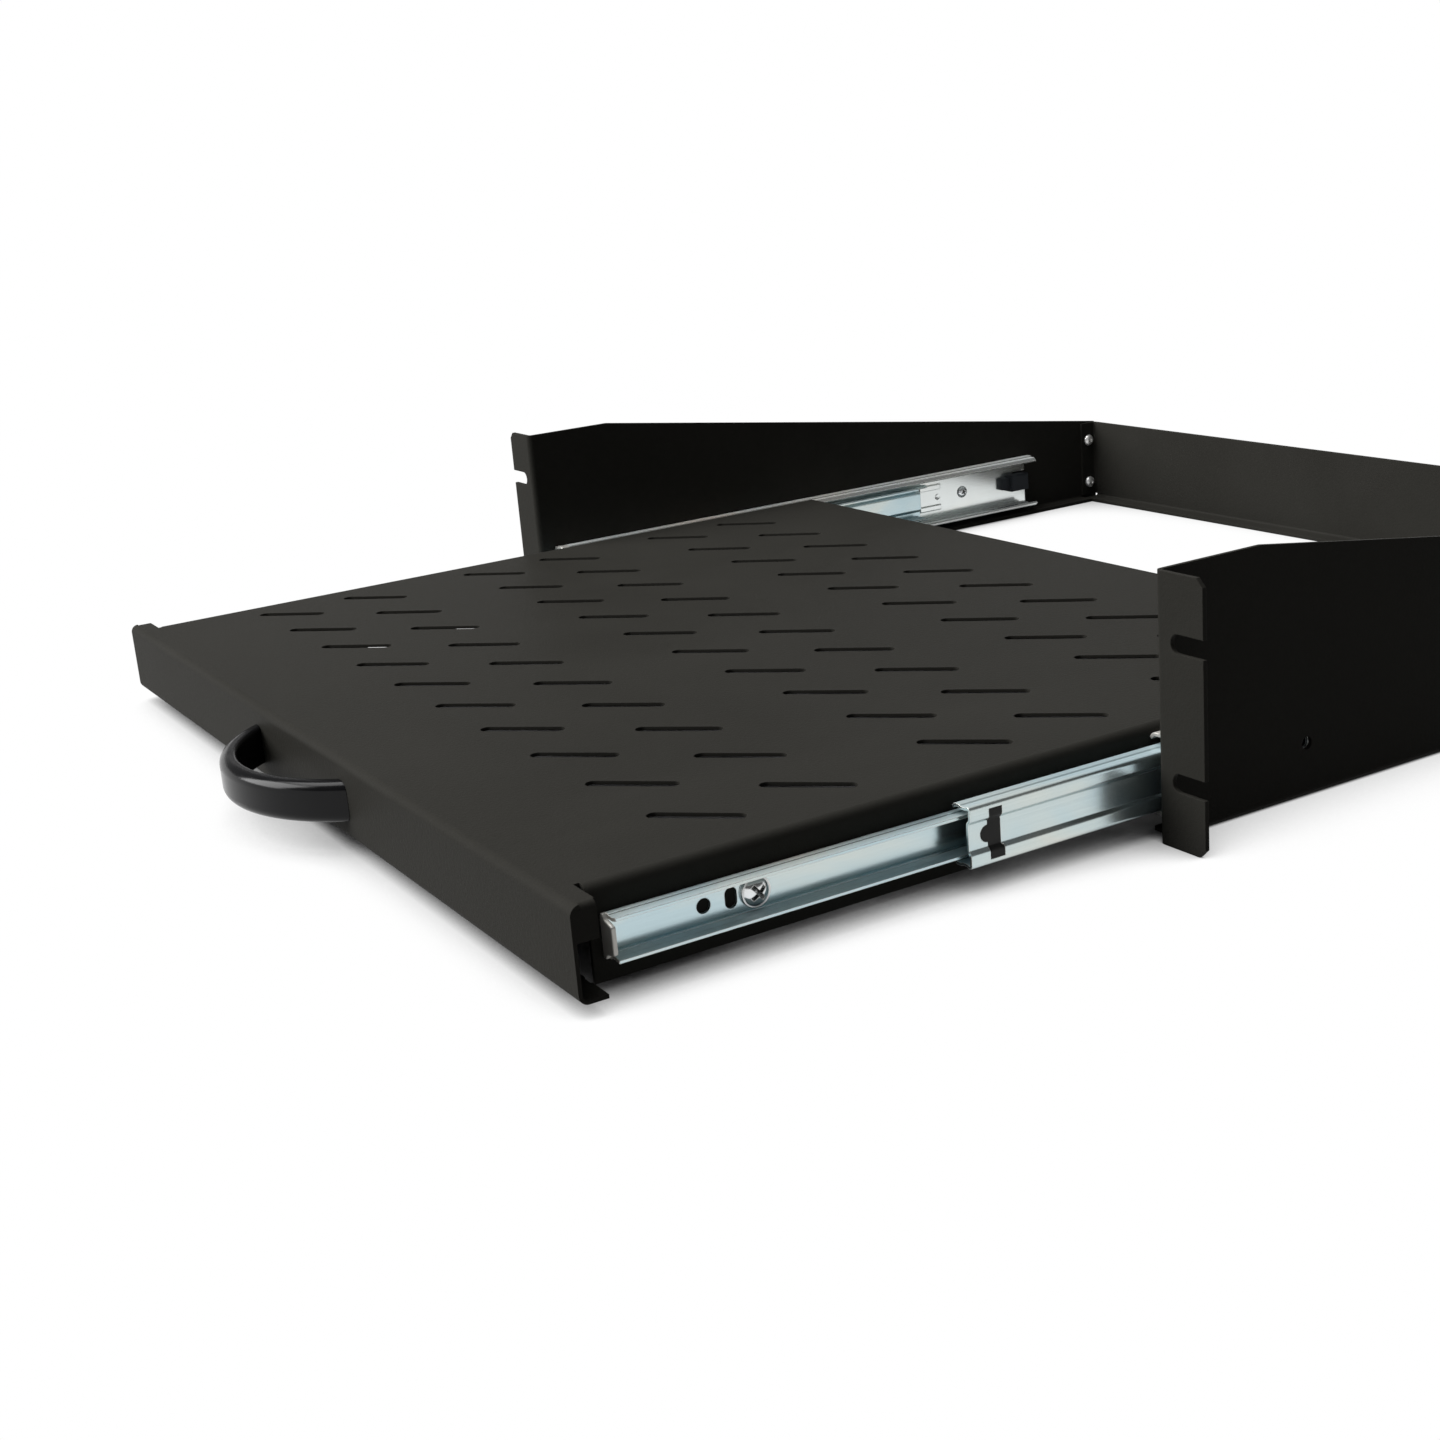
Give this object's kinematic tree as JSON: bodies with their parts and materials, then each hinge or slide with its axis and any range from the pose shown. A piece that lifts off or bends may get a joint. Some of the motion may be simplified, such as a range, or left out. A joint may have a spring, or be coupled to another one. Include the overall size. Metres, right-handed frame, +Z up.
{
  "type": "sliding rack shelf",
  "caption": "Pull-out rack shelf: slotted folded-sheet tray with bow handle on telescopic ball slides between side brackets with slotted rack ears.",
  "frame": {"origin": "midway between the two rack ears, on the back face of the ears, at mid height of the ears", "axes": "+X to the right seen from the front, +Y into the rack, +Z up; the tray pulls out along -Y"},
  "size_m": [0.4826, 0.5844, 0.0882],
  "materials": {
    "black_powder_coat": "fine-textured matt black powder coat on folded sheet steel",
    "zinc_plate": "bright blue-white zinc plate on roll-formed steel",
    "cage_steel": "thin stamped strip, zinc plated",
    "ball_steel": "polished bearing balls",
    "bright_fasteners": "bright zinc-plated screws and nuts",
    "rivet_aluminium": "plain blind rivets",
    "handle_plastic": "glossy black moulding",
    "clip_plastic": "satin black moulding",
    "bumper_rubber": "dark blue-grey rubber"
  },
  "bodies": {
    "frame": {"left_side_bracket": "black_powder_coat", "right_side_bracket": "black_powder_coat", "rear_panel": "black_powder_coat", "rear_rivets": "rivet_aluminium", "left_outer_rail": "zinc_plate", "right_outer_rail": "zinc_plate", "left_outer_rail_screws": "bright_fasteners", "right_outer_rail_screws": "bright_fasteners", "left_rear_bumper": "bumper_rubber", "right_rear_bumper": "bumper_rubber"},
    "tray": {"shelf_tray": "black_powder_coat", "pull_handle": "handle_plastic", "handle_screws": "bright_fasteners", "left_inner_rail": "zinc_plate", "right_inner_rail": "zinc_plate", "left_inner_rail_screws": "bright_fasteners", "right_inner_rail_screws": "bright_fasteners", "left_inner_rail_nuts": "bright_fasteners", "right_inner_rail_nuts": "bright_fasteners"},
    "right_middle": {"right_middle_rail": "zinc_plate", "right_rail_clip": "clip_plastic"},
    "right_outer_cage": {"right_outer_cage": "cage_steel", "right_outer_balls": "ball_steel"},
    "right_inner_cage": {"right_inner_cage": "cage_steel", "right_inner_balls": "ball_steel"},
    "left_middle": {"left_middle_rail": "zinc_plate", "left_rail_clip": "clip_plastic"},
    "left_outer_cage": {"left_outer_cage": "cage_steel", "left_outer_balls": "ball_steel"},
    "left_inner_cage": {"left_inner_cage": "cage_steel", "left_inner_balls": "ball_steel"}
  },
  "joints": [
    {"name": "tray_slide", "type": "slide", "parent": "frame", "child": "tray", "axis": [0, -1, 0], "range_m": [-0.197, 0.093]},
    {"name": "right_middle_slide", "type": "slide", "parent": "frame", "child": "right_middle", "axis": [0, -1, 0], "range_m": [-0.08141, 0.03843]},
    {"name": "right_outer_cage_slide", "type": "slide", "parent": "frame", "child": "right_outer_cage", "axis": [0, -1, 0], "range_m": [-0.04071, 0.01922]},
    {"name": "right_inner_cage_slide", "type": "slide", "parent": "frame", "child": "right_inner_cage", "axis": [0, -1, 0], "range_m": [-0.13921, 0.06572]},
    {"name": "left_middle_slide", "type": "slide", "parent": "frame", "child": "left_middle", "axis": [0, -1, 0], "range_m": [-0.0525, 0.02479]},
    {"name": "left_outer_cage_slide", "type": "slide", "parent": "frame", "child": "left_outer_cage", "axis": [0, -1, 0], "range_m": [-0.02626, 0.0124]},
    {"name": "left_inner_cage_slide", "type": "slide", "parent": "frame", "child": "left_inner_cage", "axis": [0, -1, 0], "range_m": [-0.12476, 0.0589]}
  ],
  "couplings": [
    {"joint": "right_middle_slide", "follows": "tray_slide", "ratio": 0.4132},
    {"joint": "right_outer_cage_slide", "follows": "tray_slide", "ratio": 0.2066},
    {"joint": "right_inner_cage_slide", "follows": "tray_slide", "ratio": 0.7066},
    {"joint": "left_middle_slide", "follows": "tray_slide", "ratio": 0.2665},
    {"joint": "left_outer_cage_slide", "follows": "tray_slide", "ratio": 0.13325},
    {"joint": "left_inner_cage_slide", "follows": "tray_slide", "ratio": 0.63325}
  ]
}
